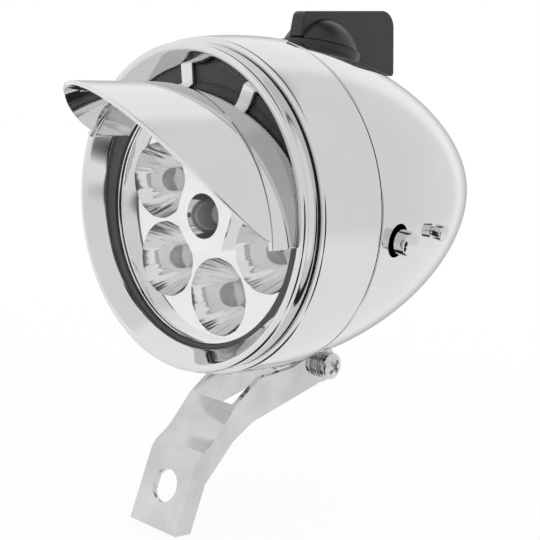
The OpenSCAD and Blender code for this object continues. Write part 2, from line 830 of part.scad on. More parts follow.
module board_screws() {
  color(steel) lamp() low(lens_drop) around(3, cup_turn + 30) translate([board_screw_ring, 0, 0]) {
    disc_y(board_screw_r, reflector_end_y - board_screw_l + fit, board_screw_l + board_t + fit);
    disc_y(2 * board_screw_r, board_end_y, board_screw_head);
  }
}

module battery_holder() {
  slot_w = 1.7 * battery_r;
  color(black) lamp() low(lens_drop) difference() {
    union() {
      disc_y(holder_r, holder_y, holder_l);
      around(3, cup_turn + 30) translate([post_ring, 0, 0]) {
        disc_y(2 * post_r, board_end_y, holder_gap + fit);
        disc_y(post_r, reflector_end_y - post_in, post_in + board_t + 2 * fit);
      }
    }
    around(3, cup_turn) translate([cell_ring, 0, 0])
      disc_y(battery_r + fit, holder_y + holder_end, holder_l - 2 * holder_end);
    around(3, cup_turn) translate([cell_ring, holder_y + holder_end, -slot_w / 2])
      cube([holder_r, holder_l - 2 * holder_end, slot_w]);
  }
}

module cells() {
  color([0.55, 0.57, 0.6]) lamp() low(lens_drop) around(3, cup_turn) translate([cell_ring, 0, 0]) {
    disc_y(battery_r, cells_y + nub_l, battery_l - nub_l);
    disc_y(nub_r, cells_y, nub_l + 0.1);
  }
}

module cell_contacts() {
  color([0.8, 0.7, 0.4]) lamp() low(lens_drop) around(3, cup_turn) translate([cell_ring, 0, 0]) {
    disc_y(contact_r, holder_y + holder_end, contact_t);
    disc_y(contact_r, cells_y + battery_l + fit, contact_t);
  }
}

bracket();
pivot_screw();
spring_washer();
pivot_washers();
pivot_nut();
rear_shell();
pivot_lug();
lug_rivets();
switch_body();
switch_nut();
knob_base();
latch_rivet();
latch_spacer();
knob();
switch_shaft();
latch_leaf();
latch_stud();
front_shell();
shell_sleeve();
shell_screw();
bezel();
bezel_seal();
visor();
gasket();
lens();
reflector();
carrier();
retaining_ring();
led_board();
leds();
board_screws();
battery_holder();
cells();
cell_contacts();
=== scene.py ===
import math
import bmesh
import bpy
from mathutils import Matrix, Vector
from mathutils.geometry import delaunay_2d_cdt


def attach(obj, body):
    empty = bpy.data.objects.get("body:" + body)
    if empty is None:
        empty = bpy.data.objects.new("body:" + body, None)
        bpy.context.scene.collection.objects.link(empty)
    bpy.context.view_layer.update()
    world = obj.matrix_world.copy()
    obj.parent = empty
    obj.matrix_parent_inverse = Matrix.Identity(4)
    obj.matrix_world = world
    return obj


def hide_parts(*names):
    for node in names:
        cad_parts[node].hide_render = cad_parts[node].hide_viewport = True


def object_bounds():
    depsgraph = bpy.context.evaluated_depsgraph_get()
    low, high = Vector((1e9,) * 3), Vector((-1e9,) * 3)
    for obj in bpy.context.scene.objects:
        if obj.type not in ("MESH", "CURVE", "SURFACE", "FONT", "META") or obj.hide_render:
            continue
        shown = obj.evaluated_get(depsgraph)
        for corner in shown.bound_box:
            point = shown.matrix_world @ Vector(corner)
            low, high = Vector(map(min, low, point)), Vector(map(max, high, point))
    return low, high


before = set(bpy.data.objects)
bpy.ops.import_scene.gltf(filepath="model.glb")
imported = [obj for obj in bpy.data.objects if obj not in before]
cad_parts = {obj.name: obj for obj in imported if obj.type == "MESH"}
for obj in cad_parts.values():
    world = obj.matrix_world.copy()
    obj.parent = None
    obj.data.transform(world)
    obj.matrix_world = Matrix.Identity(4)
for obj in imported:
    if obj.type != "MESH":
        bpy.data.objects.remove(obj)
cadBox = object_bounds()
print("frame loaded:", len(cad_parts), "nodes")

# All sizes below are millimetres in the lamp's own frame: the rim's middle is the
# origin, Y runs back along the lamp's axis and Z is up.
mm = 0.001
lampPlace = {"rimY": 2.3, "axisHeight": 56.5, "lensDrop": 1.7}
lampMatrix = Matrix.Translation(Vector((0, lampPlace["rimY"], lampPlace["axisHeight"])) * mm)
lensMatrix = lampMatrix @ Matrix.Translation((0, 0, -lampPlace["lensDrop"] * mm))


def rotationAbout(axis, degrees):
    return Matrix.Rotation(math.radians(degrees), 4, axis)


def unit2(a, b):
    length = math.hypot(b[0] - a[0], b[1] - a[1])
    return ((b[0] - a[0]) / length, (b[1] - a[1]) / length)


# Rounds corners of an outline: each point is (a, b) or (a, b, radius).
def roundedOutline(points, steps=6, closed=True):
    result = []
    count = len(points)
    for i, point in enumerate(points):
        radius = point[2] if len(point) > 2 else 0
        if radius <= 0 or (not closed and i in (0, count - 1)):
            result.append((point[0], point[1]))
            continue
        toLast = unit2(point, points[i - 1])
        toNext = unit2(point, points[(i + 1) % count])
        dot = max(-0.9999, min(0.9999, toLast[0] * toNext[0] + toLast[1] * toNext[1]))
        half = math.acos(dot) / 2
        reach = radius / math.tan(half)
        bisector = unit2((0, 0), (toLast[0] + toNext[0], toLast[1] + toNext[1]))
        away = radius / math.sin(half)
        middle = (point[0] + bisector[0] * away, point[1] + bisector[1] * away)
        start = (point[0] + toLast[0] * reach, point[1] + toLast[1] * reach)
        end = (point[0] + toNext[0] * reach, point[1] + toNext[1] * reach)
        startAngle = math.atan2(start[1] - middle[1], start[0] - middle[0])
        endAngle = math.atan2(end[1] - middle[1], end[0] - middle[0])
        turn = (endAngle - startAngle + math.pi) % (2 * math.pi) - math.pi
        for k in range(steps + 1):
            angle = startAngle + turn * k / steps
            result.append((middle[0] + radius * math.cos(angle), middle[1] + radius * math.sin(angle)))
    return result


def arcPoints(middle, radius, startDeg, endDeg, steps):
    angles = [math.radians(startDeg + (endDeg - startDeg) * k / steps) for k in range(steps + 1)]
    return [(middle[0] + radius * math.cos(a), middle[1] + radius * math.sin(a)) for a in angles]


def newObject(name, mesh):
    obj = bpy.data.objects.new(name, mesh)
    bpy.context.scene.collection.objects.link(obj)
    return obj


def meshFrom(name, verts, edges, faces):
    mesh = bpy.data.meshes.new(name)
    mesh.from_pydata(verts, edges, faces)
    return newObject(name, mesh)


# Takes what the modifiers give as the piece's plain mesh.
def bake(obj):
    graph = bpy.context.evaluated_depsgraph_get()
    final = obj.evaluated_get(graph)
    mesh = bpy.data.meshes.new_from_object(final, preserve_all_data_layers=True, depsgraph=graph)
    old = obj.data
    obj.modifiers.clear()
    obj.data = mesh
    mesh.name = obj.name
    if old.users == 0:
        bpy.data.meshes.remove(old)
    return obj


def mergeAndTurnOut(obj, distance=1e-6):
    bm = bmesh.new()
    bm.from_mesh(obj.data)
    bmesh.ops.remove_doubles(bm, verts=bm.verts, dist=distance)
    bmesh.ops.dissolve_degenerate(bm, edges=bm.edges, dist=1e-7)
    bmesh.ops.recalc_face_normals(bm, faces=bm.faces)
    bm.to_mesh(obj.data)
    bm.free()


def smoothByAngle(obj, degrees=30, weighted=False):
    obj.data.shade_smooth()
    obj.data.set_sharp_from_angle(angle=math.radians(degrees))
    if weighted:
        weight = obj.modifiers.new("faceWeight", "WEIGHTED_NORMAL")
        weight.keep_sharp = True
        bake(obj)


def bevelEdges(bm, edges, offset, segments):
    bmesh.ops.bevel(bm, geom=edges, offset=offset * mm, offset_type="OFFSET", segments=segments, profile=0.5,
                    affect="EDGES", clamp_overlap=True)


def edgesOver(bm, degrees):
    return [e for e in bm.edges if e.is_manifold and e.calc_face_angle() > math.radians(degrees)]


def setMaterial(obj, material):
    obj.data.materials.clear()
    obj.data.materials.append(material)


def cutWith(obj, cutter):
    cut = obj.modifiers.new("cut", "BOOLEAN")
    cut.operation = "DIFFERENCE"
    cut.solver = "EXACT"
    cut.object = cutter
    bake(obj)
    bpy.data.objects.remove(cutter)


# Node helpers
def addNode(tree, kind, inputs=None, **settings):
    node = tree.nodes.new(kind)
    for key, value in settings.items():
        setattr(node, key, value)
    for key, value in (inputs or {}).items():
        node.inputs[key].default_value = value
    return node


def setInput(modifier, tree, name, value):
    for item in tree.interface.items_tree:
        if item.item_type == "SOCKET" and item.in_out == "INPUT" and item.name == name:
            modifier[item.identifier] = value


def newGeometryTree(name, inputs):
    tree = bpy.data.node_groups.new(name, "GeometryNodeTree")
    tree.is_modifier = True
    tree.interface.new_socket("Geometry", in_out="INPUT", socket_type="NodeSocketGeometry")
    tree.interface.new_socket("Geometry", in_out="OUTPUT", socket_type="NodeSocketGeometry")
    for label, kind, value in inputs:
        socket = tree.interface.new_socket(label, in_out="INPUT", socket_type=kind)
        if value is not None:
            socket.default_value = value
    return tree, tree.nodes.new("NodeGroupInput"), tree.nodes.new("NodeGroupOutput")


# Sweeps the object's own polyline, a half section, round the lamp's axis.
def makeTurnedTree():
    tree, start, end = newGeometryTree("turnedPiece", [
        ("Lathe radius", "NodeSocketFloat", 0.02),
        ("Steps", "NodeSocketInt", 128),
        ("Material", "NodeSocketMaterial", None)])
    section = addNode(tree, "GeometryNodeMeshToCurve")
    path = addNode(tree, "GeometryNodeCurvePrimitiveCircle")
    normals = addNode(tree, "GeometryNodeSetCurveNormal")
    normals.mode = "Z_UP"
    sweep = addNode(tree, "GeometryNodeCurveToMesh")
    lay = addNode(tree, "GeometryNodeTransform", {"Rotation": (-math.pi / 2, 0, 0)})
    weld = addNode(tree, "GeometryNodeMergeByDistance", {"Distance": 1e-6})
    real = addNode(tree, "GeometryNodeRealizeInstances")
    paint = addNode(tree, "GeometryNodeSetMaterial")
    link = tree.links.new
    link(start.outputs["Geometry"], section.inputs["Mesh"])
    link(start.outputs["Steps"], path.inputs["Resolution"])
    link(start.outputs["Lathe radius"], path.inputs["Radius"])
    link(path.outputs["Curve"], normals.inputs["Curve"])
    link(normals.outputs["Curve"], sweep.inputs["Curve"])
    link(section.outputs["Curve"], sweep.inputs["Profile Curve"])
    link(sweep.outputs["Mesh"], lay.inputs["Geometry"])
    link(lay.outputs["Geometry"], weld.inputs["Geometry"])
    link(weld.outputs["Geometry"], real.inputs["Geometry"])
    link(real.outputs["Geometry"], paint.inputs["Geometry"])
    link(start.outputs["Material"], paint.inputs["Material"])
    link(paint.outputs["Geometry"], end.inputs["Geometry"])
    return tree


# Sets copies of the object's mesh on a ring that faces the front.
def makeRingTree():
    tree, start, end = newGeometryTree("ringOfPieces", [
        ("Count", "NodeSocketInt", 6),
        ("Ring radius", "NodeSocketFloat", 0.01),
        ("Turn", "NodeSocketFloat", 0.0),
        ("Middle piece", "NodeSocketBool", False),
        ("Material", "NodeSocketMaterial", None)])
    ring = addNode(tree, "GeometryNodeMeshCircle")
    turn = addNode(tree, "GeometryNodeTransform")
    turnVector = addNode(tree, "ShaderNodeCombineXYZ")
    place = addNode(tree, "GeometryNodeInstanceOnPoints")
    middle = addNode(tree, "GeometryNodeSwitch", input_type="GEOMETRY")
    join = addNode(tree, "GeometryNodeJoinGeometry")
    lay = addNode(tree, "GeometryNodeTransform", {"Rotation": (math.pi / 2, 0, 0)})
    real = addNode(tree, "GeometryNodeRealizeInstances")
    paint = addNode(tree, "GeometryNodeSetMaterial")
    link = tree.links.new
    link(start.outputs["Count"], ring.inputs["Vertices"])
    link(start.outputs["Ring radius"], ring.inputs["Radius"])
    link(ring.outputs["Mesh"], turn.inputs["Geometry"])
    link(start.outputs["Turn"], turnVector.inputs["Z"])
    link(turnVector.outputs["Vector"], turn.inputs["Rotation"])
    link(turn.outputs["Geometry"], place.inputs["Points"])
    link(start.outputs["Geometry"], place.inputs["Instance"])
    link(start.outputs["Middle piece"], middle.inputs["Switch"])
    link(start.outputs["Geometry"], middle.inputs["True"])
    link(place.outputs["Instances"], join.inputs["Geometry"])
    link(middle.outputs["Output"], join.inputs["Geometry"])
    link(join.outputs["Geometry"], lay.inputs["Geometry"])
    link(lay.outputs["Geometry"], real.inputs["Geometry"])
    link(real.outputs["Geometry"], paint.inputs["Geometry"])
    link(start.outputs["Material"], paint.inputs["Material"])
    link(paint.outputs["Geometry"], end.inputs["Geometry"])
    return tree


turnedTree = makeTurnedTree()
ringTree = makeRingTree()


# section: list of (radius, distance along the axis) in mm.
def turnedPiece(name, section, material, matrix=lampMatrix, steps=192, closed=True, sharp=30):
    lathe = max(p[0] for p in section)
    verts = [((r - lathe) * mm, -y * mm, 0) for r, y in section]
    edges = [(i, i + 1) for i in range(len(verts) - 1)]
    if closed:
        edges.append((len(verts) - 1, 0))
    obj = meshFrom(name, verts, edges, [])
    turn = obj.modifiers.new("turn", "NODES")
    turn.node_group = turnedTree
    setInput(turn, turnedTree, "Lathe radius", lathe * mm)
    setInput(turn, turnedTree, "Steps", steps)
    setInput(turn, turnedTree, "Material", material)
    bake(obj)
    mergeAndTurnOut(obj)
    obj.data.transform(matrix)
    smoothByAngle(obj, sharp)
    return obj


def ringPiece(obj, count, radius, turnDeg, middle, material, matrix):
    ring = obj.modifiers.new("ring", "NODES")
    ring.node_group = ringTree
    setInput(ring, ringTree, "Count", count)
    setInput(ring, ringTree, "Ring radius", radius * mm)
    setInput(ring, ringTree, "Turn", math.radians(turnDeg))
    setInput(ring, ringTree, "Middle piece", middle)
    setInput(ring, ringTree, "Material", material)
    bake(obj)
    obj.data.transform(matrix)
    return obj


def finishPiece(obj, body, slotName, *nodes):
    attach(obj, body)
    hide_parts(*nodes)


# A copy of a CAD node's mesh, merged into whole faces, with its open bmesh.
def mergedCopy(name, node, flatAngle):
    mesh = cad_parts[node].data.copy()
    mesh.name = name
    obj = newObject(name, mesh)
    bm = bmesh.new()
    bm.from_mesh(mesh)
    bmesh.ops.remove_doubles(bm, verts=bm.verts, dist=2e-6)
    bmesh.ops.dissolve_limit(bm, angle_limit=math.radians(flatAngle), verts=bm.verts, edges=bm.edges)
    return obj, bm


def closeCopy(obj, bm, material, sharp):
    bm.to_mesh(obj.data)
    bm.free()
    if obj.data.has_custom_normals:
        obj.data.attributes.remove(obj.data.attributes["custom_normal"])
    setMaterial(obj, material)
    smoothByAngle(obj, sharp, True)
    return obj


softSizes = {"flatAngle": 0.6, "edgeAngle": 30, "segments": 2, "sharp": 32}


def softenedCopy(name, node, material, rounding):
    z = softSizes
    obj, bm = mergedCopy(name, node, z["flatAngle"])
    bevelEdges(bm, edgesOver(bm, z["edgeAngle"]), rounding, z["segments"])
    return closeCopy(obj, bm, material, z["sharp"])


# Materials
def newShaderGroup(name, inputs, outputs):
    tree = bpy.data.node_groups.new(name, "ShaderNodeTree")
    for label, kind, value in inputs:
        tree.interface.new_socket(label, in_out="INPUT", socket_type=kind).default_value = value
    for label, kind in outputs:
        tree.interface.new_socket(label, in_out="OUTPUT", socket_type=kind)
    return tree, tree.nodes.new("NodeGroupInput"), tree.nodes.new("NodeGroupOutput")


# Faint polishing marks and handling haze: changes roughness, colour and height a little.
def makeHandledSurface():
    tree, start, end = newShaderGroup(
        "handledSurface",
        [("Light colour", "NodeSocketColor", (0.9, 0.9, 0.9, 1)),
         ("Dark colour", "NodeSocketColor", (0.8, 0.8, 0.8, 1)),
         ("Smooth", "NodeSocketFloat", 0.05), ("Rough", "NodeSocketFloat", 0.1),
         ("Haze size", "NodeSocketFloat", 60.0), ("Grain size", "NodeSocketFloat", 3000.0)],
        [("Colour", "NodeSocketColor"), ("Roughness", "NodeSocketFloat"), ("Height", "NodeSocketFloat")])
    place = addNode(tree, "ShaderNodeTexCoord")
    haze = addNode(tree, "ShaderNodeTexNoise", {"Detail": 4.0, "Roughness": 0.55})
    grain = addNode(tree, "ShaderNodeTexNoise", {"Detail": 2.0, "Roughness": 0.5})
    tone = addNode(tree, "ShaderNodeMapRange", {"From Min": 0.35, "From Max": 0.65})
    colour = addNode(tree, "ShaderNodeMix", data_type="RGBA")
    rough = addNode(tree, "ShaderNodeMix", data_type="FLOAT")
    link = tree.links.new
    link(place.outputs["Object"], haze.inputs["Vector"])
    link(place.outputs["Object"], grain.inputs["Vector"])
    link(start.outputs["Haze size"], haze.inputs["Scale"])
    link(start.outputs["Grain size"], grain.inputs["Scale"])
    link(haze.outputs["Fac"], tone.inputs["Value"])
    link(tone.outputs["Result"], colour.inputs["Factor"])
    link(start.outputs["Dark colour"], colour.inputs["A"])
    link(start.outputs["Light colour"], colour.inputs["B"])
    link(tone.outputs["Result"], rough.inputs["Factor"])
    link(start.outputs["Smooth"], rough.inputs["A"])
    link(start.outputs["Rough"], rough.inputs["B"])
    link(colour.outputs["Result"], end.inputs["Colour"])
    link(rough.outputs["Result"], end.inputs["Roughness"])
    link(grain.outputs["Fac"], end.inputs["Height"])
    return tree


handledSurface = makeHandledSurface()


def newMaterial(name, values, look, bump=0.0):
    material = bpy.data.materials.new(name)
    material.use_nodes = True
    tree = material.node_tree
    shader = tree.nodes["Principled BSDF"]
    for key, value in values.items():
        shader.inputs[key].default_value = value
    group = addNode(tree, "ShaderNodeGroup", node_tree=handledSurface)
    for key, value in look.items():
        group.inputs[key].default_value = value
    tree.links.new(group.outputs["Colour"], shader.inputs["Base Color"])
    tree.links.new(group.outputs["Roughness"], shader.inputs["Roughness"])
    if bump > 0:
        relief = addNode(tree, "ShaderNodeBump", {"Strength": bump, "Distance": 0.0002})
        tree.links.new(group.outputs["Height"], relief.inputs["Height"])
        tree.links.new(relief.outputs["Normal"], shader.inputs["Normal"])
    return material


def grey(value):
    return (value, value, value, 1)


# The inputs of handledSurface: two colours, two roughnesses and the sizes of haze and grain.
def surface(light, dark, smooth, rough, haze, grain=3000.0):
    return {"Light colour": light, "Dark colour": dark, "Smooth": smooth, "Rough": rough,
            "Haze size": haze, "Grain size": grain}


chromePlate = newMaterial("chromePlate", {"Metallic": 1.0}, surface(grey(0.75), grey(0.72), 0.02, 0.05, 45.0))
bracketChrome = newMaterial("bracketChrome", {"Metallic": 1.0},
                            surface(grey(0.68), grey(0.56), 0.06, 0.13, 90.0), 0.03)
brightSteel = newMaterial("brightSteel", {"Metallic": 1.0},
                          surface(grey(0.74), grey(0.6), 0.12, 0.26, 500.0), 0.05)
springSteel = newMaterial("springSteel", {"Metallic": 1.0},
                          surface(grey(0.6), grey(0.45), 0.25, 0.42, 300.0), 0.08)
mirrorCoat = newMaterial("mirrorCoat", {"Metallic": 1.0}, surface(grey(0.87), grey(0.84), 0.03, 0.07, 120.0))
blackMoulding = newMaterial("blackMoulding", {"Specular IOR Level": 0.5},
                            surface(grey(0.017), grey(0.009), 0.3, 0.42, 160.0, 4500.0), 0.12)
softRubber = newMaterial("softRubber", {"Specular IOR Level": 0.4},
                         surface(grey(0.03), grey(0.018), 0.42, 0.6, 220.0, 5200.0), 0.15)
greyRubber = newMaterial("greyRubber", {"Specular IOR Level": 0.4},
                         surface(grey(0.075), grey(0.055), 0.42, 0.6, 220.0, 5200.0), 0.15)
boardWhite = newMaterial("boardWhite", {}, surface(grey(0.8), grey(0.72), 0.25, 0.4, 260.0))
cellJacket = newMaterial("cellJacket", {"Coat Weight": 0.4},
                         surface(grey(0.3), grey(0.24), 0.25, 0.36, 140.0))
contactBrass = newMaterial("contactBrass", {"Metallic": 1.0},
                           surface((0.8, 0.62, 0.3, 1), (0.62, 0.46, 0.2, 1), 0.2, 0.36, 400.0))
clearLens = newMaterial("clearLens", {"Transmission Weight": 1.0, "IOR": 1.3},
                        surface(grey(1.0), grey(0.97), 0.0, 0.015, 70.0))
ledClear = newMaterial("ledClear", {"Transmission Weight": 0.85, "IOR": 1.42},
                       surface(grey(1.0), grey(0.96), 0.01, 0.05, 400.0))
print("materials made:", len(bpy.data.materials))

# Shells
shellSizes = {"radius": 34.3, "wideY": 17.0, "frontCurve": 113.0, "rearCurve": 103.0, "tailRadius": 16.0,
              "wall": 1.2, "seamY": 20.4, "seamGap": 0.4, "frontY": 4.45, "lipRadius": 31.7, "lipEnd": 7.0,
              "bore": 32.0, "frontEdge": 0.8, "lipEdge": 0.25, "seamEdge": 0.25, "boreEdge": 0.15,
              "steps": 256, "frontRows": 28, "rearRows": 84, "tailRows": 26}


def frontRadiusAt(y):
    s = shellSizes
    return math.sqrt(s["frontCurve"] ** 2 - (y - s["wideY"]) ** 2) + s["radius"] - s["frontCurve"]


def rearRadiusAt(y):
    s = shellSizes
    return math.sqrt(s["rearCurve"] ** 2 - (y - s["wideY"]) ** 2) + s["radius"] - s["rearCurve"]


tailRun = math.sqrt((shellSizes["rearCurve"] - shellSizes["tailRadius"]) ** 2
                    - (shellSizes["rearCurve"] - shellSizes["radius"]) ** 2)
tailMiddleY = shellSizes["wideY"] + tailRun
tailShare = tailRun / (shellSizes["rearCurve"] - shellSizes["tailRadius"])


# Section of the rear shell's skin, grown by d, from y to the tail's tip on the axis.
def rearCurve(d, y, steps, tailSteps):
    s = shellSizes
    big = s["rearCurve"] + d
    middleR = s["radius"] - s["rearCurve"]
    startAngle = math.asin((y - s["wideY"]) / big)
    endAngle = math.asin(tailShare)
    points = []
    for k in range(steps + 1):
        a = startAngle + (endAngle - startAngle) * k / steps
        points.append((middleR + big * math.cos(a), s["wideY"] + big * math.sin(a)))
    small = s["tailRadius"] + d
    for k in range(1, tailSteps + 1):
        a = endAngle + (math.pi / 2 - endAngle) * k / tailSteps
        points.append((max(0.0, small * math.cos(a)), tailMiddleY + small * math.sin(a)))
    return points


def makeFrontShell():
    s = shellSizes
    back = s["seamY"] - s["seamGap"] / 2
    front, lipR, lipEnd, boreR = s["frontY"], s["lipRadius"], s["lipEnd"], s["bore"]
    ys = [front + (back - front) * k / s["frontRows"] for k in range(s["frontRows"] + 1)]
    section = [(lipR, front, s["lipEdge"]), (frontRadiusAt(front), front, s["frontEdge"])]
    # The curve starts clear of the rounded front edge.
    section += [(frontRadiusAt(y), y) for y in ys[1:-1] if y > front + s["frontEdge"] + 0.3]
    section += [(frontRadiusAt(back), back, s["seamEdge"]), (boreR, back, s["boreEdge"]), (boreR, lipEnd),
                (lipR, lipEnd)]
    return turnedPiece("frontShell", roundedOutline(section, 8), chromePlate, steps=s["steps"])


# Exact normals on the skin, so the mirror finish shows no trace of the cut hole.
def setShellNormals(obj):
    s = shellSizes
    mesh = obj.data
    normals = [Vector((0, 0, 0))] * len(mesh.loops)
    inverse = lampMatrix.inverted()
    for polygon in mesh.polygons:
        for index in polygon.loop_indices:
            p = (inverse @ mesh.vertices[mesh.loops[index].vertex_index].co) / mm
            r = math.hypot(p.x, p.z)
            if p.y < s["seamY"] + 0.6 or r < 0.02:
                continue
            middle = (s["radius"] - s["rearCurve"], s["wideY"])
            if p.y > s["wideY"] + s["rearCurve"] * tailShare:
                middle = (0.0, tailMiddleY)
            n2 = unit2(middle, (r, p.y))
            normal = Vector((n2[0] * p.x / r, n2[1], n2[0] * p.z / r))
            side = normal.dot(polygon.normal)
            if side > 0.96:
                normals[index] = normal
            elif side < -0.96:
                normals[index] = -normal
    mesh.normals_split_custom_set(normals)


latchSizes = {"down": 7.0, "studY": 26.5, "holeRadius": 3.4, "holeReach": (20, 50), "studRadius": 2.5,
              "studOut": 4.1, "studDome": 4.0, "studShoulder": 0.95, "collarRadius": 3.3, "leafOut": 28.4,
              "leafThick": 0.9, "collarTop": 30.55, "rivetY": 42.0, "rivetRadius": 1.65, "rivetHigh": 3.0,
              "rivetLift": 0.52, "rivetDome": 3.3, "rivetShoulder": 0.5, "rivetFoot": 0.5,
              "rivetFootRadius": 1.8, "rivetShank": 1.0}


# Local Y of a turned piece points out of the shell's side at the latch.
def latchMatrix(y):
    return (lampMatrix @ rotationAbout("Y", latchSizes["down"]) @ Matrix.Translation((0, y * mm, 0))
            @ rotationAbout("Z", -90))


def makeRearShell():
    s = shellSizes
    front = s["seamY"] + s["seamGap"] / 2
    outer = rearCurve(0, front, s["rearRows"], s["tailRows"])
    inner = rearCurve(-s["wall"], front, s["rearRows"], s["tailRows"])
    section = [(p[0], p[1]) for p in reversed(inner[1:])]
    section += [(inner[0][0], inner[0][1], s["boreEdge"]), (outer[0][0], outer[0][1], s["seamEdge"])]
    section += outer[1:]
    shell = turnedPiece("rearShell", roundedOutline(section, 4, closed=False), chromePlate, steps=s["steps"],
                        closed=False)
    holeR, (low, high) = latchSizes["holeRadius"], latchSizes["holeReach"]
    hole = [(0, low), (holeR, low), (holeR, high), (0, high)]
    cutter = turnedPiece("holeCutter", hole, chromePlate, latchMatrix(latchSizes["studY"]), 64, False)
    cutWith(shell, cutter)
    smoothByAngle(shell, 30)
    setShellNormals(shell)
    return shell


finishPiece(makeFrontShell(), "front_unit", "chrome", "front_shell")
finishPiece(makeRearShell(), "lamp", "chrome", "rear_shell")
print("shells made")


def makeLatchStud():
    z = latchSizes
    tip = rearRadiusAt(z["studY"]) + z["studOut"]
    section = [(0, z["leafOut"]), (z["collarRadius"], z["leafOut"], 0.2),
               (z["collarRadius"], z["collarTop"], 0.3), (z["studRadius"], z["collarTop"]),
               (z["studRadius"], tip - z["studShoulder"], 0.25)]
    dome = arcPoints((0, tip - z["studDome"]), z["studDome"], 53, 90, 10)
    return turnedPiece("latchStud", roundedOutline(section + dome, 5, closed=False), chromePlate,
                       latchMatrix(z["studY"]), 72, False)


def makeLatchRivet():
    z = latchSizes
    skin = rearRadiusAt(z["rivetY"])
    top = skin + z["rivetHigh"]
    foot = z["leafOut"] - z["leafThick"]
    low, lift = foot - z["rivetFoot"], skin + z["rivetLift"]
    section = [(0, low), (z["rivetFootRadius"], low, 0.15), (z["rivetFootRadius"], foot, 0.1),
               (z["rivetShank"], foot), (z["rivetShank"], lift), (z["rivetRadius"], lift, 0.15),
               (z["rivetRadius"], top - z["rivetShoulder"], 0.2)]
    dome = arcPoints((0, top - z["rivetDome"]), z["rivetDome"], 62, 90, 8)
    return turnedPiece("latchRivet", roundedOutline(section + dome, 4, closed=False), chromePlate,
                       latchMatrix(z["rivetY"]), 56, False)


finishPiece(makeLatchStud(), "latch", "chrome", "latch_stud")
finishPiece(makeLatchRivet(), "lamp", "chrome", "latch_rivet")

# Bezel, gasket, lens
bezelSizes = {"neckRadius": 31.65, "bead": 0.95, "mouthRadius": 28.3, "mouthY": 3.6, "mouthEdge": 0.4,
              "funnelY": 0.475, "funnelRows": 8, "wall": 1.0, "sideRadius": 32.5, "sideEnd": 4.0,
              "sideEdge": 0.3, "neckEnd": 6.0, "lipEnd": 9.15, "sealY": 4.025, "sealWide": 0.4,
              "sealIn": 0.05, "sealOut": 0.4, "sealEdge": 0.15, "steps": 256}


# The funnel leaves the bead without a corner: where a line from the mouth touches the bead.
def funnelTouch():
    b = bezelSizes
    toBead = (b["neckRadius"] - b["mouthRadius"], b["bead"] - b["mouthY"])
    far = math.hypot(*toBead)
    angle = math.atan2(toBead[1], toBead[0]) - math.asin(b["bead"] / far)
    run = math.sqrt(far ** 2 - b["bead"] ** 2)
    return b["mouthRadius"] + run * math.cos(angle), b["mouthY"] + run * math.sin(angle)


def makeBezel():
    b = bezelSizes
    middle = (b["neckRadius"], b["bead"])
    touch = funnelTouch()
    startAngle = math.degrees(math.atan2(touch[1] - middle[1], touch[0] - middle[0])) % 360
    endAngle = 360 + math.degrees(math.acos((b["sideRadius"] - middle[0]) / b["bead"]))
    bead = arcPoints(middle, b["bead"], startAngle, endAngle, 26)
    rise = (b["mouthY"] - b["funnelY"]) / (b["neckRadius"] - b["mouthRadius"])

    def back(r):
        return b["mouthY"] - rise * (r - b["mouthRadius"]) + b["wall"] * math.sqrt(1 + rise * rise)

    neckIn = b["neckRadius"] - b["wall"]
    lipOut = b["mouthRadius"] + b["wall"]
    mouthR, mouthY = b["mouthRadius"], b["mouthY"]
    shares = [k / b["funnelRows"] for k in range(1, b["funnelRows"])]
    funnel = [(mouthR + (touch[0] - mouthR) * t, mouthY + (touch[1] - mouthY) * t) for t in shares]
    section = [(mouthR, b["lipEnd"]), (mouthR, mouthY, b["mouthEdge"])] + funnel + bead
    section += [(b["sideRadius"], b["sideEnd"], b["sideEdge"]), (b["neckRadius"], b["sideEnd"]),
                (b["neckRadius"], b["neckEnd"]), (neckIn, b["neckEnd"]), (neckIn, back(neckIn)),
                (lipOut, back(lipOut)), (lipOut, b["lipEnd"])]
    return turnedPiece("bezel", roundedOutline(section, 6), chromePlate, steps=b["steps"], sharp=40)


def makeBezelSeal():
    b = bezelSizes
    inR = b["neckRadius"] + b["sealIn"]
    outR = b["neckRadius"] + b["sealOut"]
    front, back = b["sealY"], b["sealY"] + b["sealWide"]
    section = [(inR, front), (outR, front, b["sealEdge"]), (outR, back, b["sealEdge"]), (inR, back)]
    return turnedPiece("bezelSeal", roundedOutline(section, 4), softRubber, steps=b["steps"])


gasketSizes = {"outerRadius": 28.25, "boreRadius": 25.75, "front": 4.3, "back": 9.15, "round": 0.35,
               "inner": 0.4, "steps": 192}


# The ring is wider above than below, because the lens sits low in the mouth.
def makeGasket():
    g = gasketSizes
    half = roundedOutline([(0.0, g["back"]), (0.0, g["front"] + 0.1, g["round"]), (g["inner"], g["front"]),
                           (0.75, g["front"]), (1.0, g["front"]), (1.0, g["back"])], 5)
    verts, faces = [], []
    count = len(half)
    for i in range(g["steps"]):
        a = 2 * math.pi * i / g["steps"]
        around = Vector((math.cos(a), 0, math.sin(a)))
        inner = g["boreRadius"] * around - Vector((0, 0, lampPlace["lensDrop"]))
        outer = g["outerRadius"] * around
        width = (outer - inner).length
        for t, y in half:
            # Keeps the inner rounding the same all round.
            share = t / width if 0 < t < g["inner"] else t
            p = inner.lerp(outer, min(1.0, share))
            verts.append(lampMatrix @ (Vector((p.x, y, p.z)) * mm))
        for k in range(count):
            n = (k + 1) % count
            j = (i + 1) % g["steps"]
            faces.append((i * count + k, i * count + n, j * count + n, j * count + k))
    obj = meshFrom("gasket", verts, [], faces)
    setMaterial(obj, greyRubber)
    mergeAndTurnOut(obj)
    smoothByAngle(obj, 40)
    return obj


lensSizes = {"radius": 25.7, "front": 5.0, "thick": 1.45, "edge": 0.25, "rings": (8, 17)}


